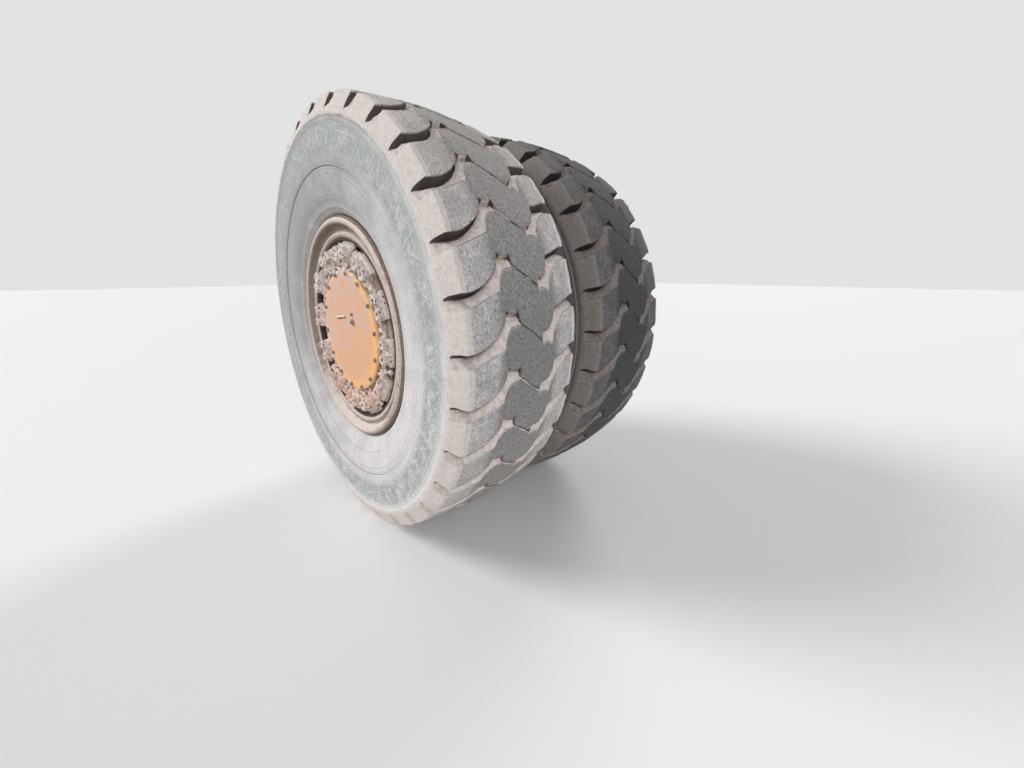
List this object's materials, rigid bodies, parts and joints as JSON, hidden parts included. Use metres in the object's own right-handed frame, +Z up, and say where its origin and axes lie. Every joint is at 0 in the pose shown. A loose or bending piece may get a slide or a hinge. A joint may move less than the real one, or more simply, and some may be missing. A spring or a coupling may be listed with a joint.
{
  "type": "rear twin-wheel end of a mining dump truck",
  "caption": "Rear twin-wheel end of a rigid mining dump truck: lugged tyres on multi-piece rims, clamped to a geared hub that turns on a flanged spindle.",
  "frame": {"origin": "centre of the spindle's mounting face, where it bolts to the rear axle housing", "axes": "+Y along the axle towards the truck's centre line, out of the mounting face; +X towards the truck's front; +Z up"},
  "size_m": [2.872, 2.254, 2.872],
  "materials": {
    "tyre": "dusty worn rubber",
    "rim_paint": "rusty brown under pale dust",
    "cast_steel": "rough, dusty",
    "cover_paint": "worn orange-yellow paint under dust",
    "fastener": "dull, dusty",
    "clamp_mud": "caked with dried mud",
    "brake_paint": "faded yellow under dust",
    "shaft_steel": "oily machined steel"
  },
  "bodies": {
    "spindle": {"spindle": "cast_steel", "brake_housing": "brake_paint", "brake_bolts": "fastener"},
    "wheel": {"outer_tyre": "tyre", "inner_tyre": "tyre", "outer_rim_base": "rim_paint", "inner_rim_base": "rim_paint", "outer_bead_band": "rim_paint", "inner_bead_band": "rim_paint", "outer_lock_ring": "rim_paint", "inner_lock_ring": "rim_paint", "outer_flange_outboard": "rim_paint", "outer_flange_inboard": "rim_paint", "inner_flange_outboard": "rim_paint", "inner_flange_inboard": "rim_paint", "rim_spacer": "rim_paint", "wheel_hub": "cast_steel", "planet_carrier": "cast_steel", "carrier_bolts": "fastener", "drive_cover": "cover_paint", "cover_bolts": "fastener", "cover_plug": "fastener", "rim_clamps": "clamp_mud", "clamp_studs": "clamp_mud"},
    "axle_shaft": {"axle_shaft": "shaft_steel"}
  },
  "joints": [
    {"name": "wheel_spin", "type": "hinge", "parent": "spindle", "child": "wheel", "pos_m": [0, -1.273, 0], "axis": [0, 1, 0], "continuous": true},
    {"name": "shaft_spin", "type": "hinge", "parent": "spindle", "child": "axle_shaft", "pos_m": [0, 0, 0], "axis": [0, 1, 0], "continuous": true}
  ],
  "couplings": [
    {"joint": "shaft_spin", "follows": "wheel_spin", "ratio": 7}
  ]
}
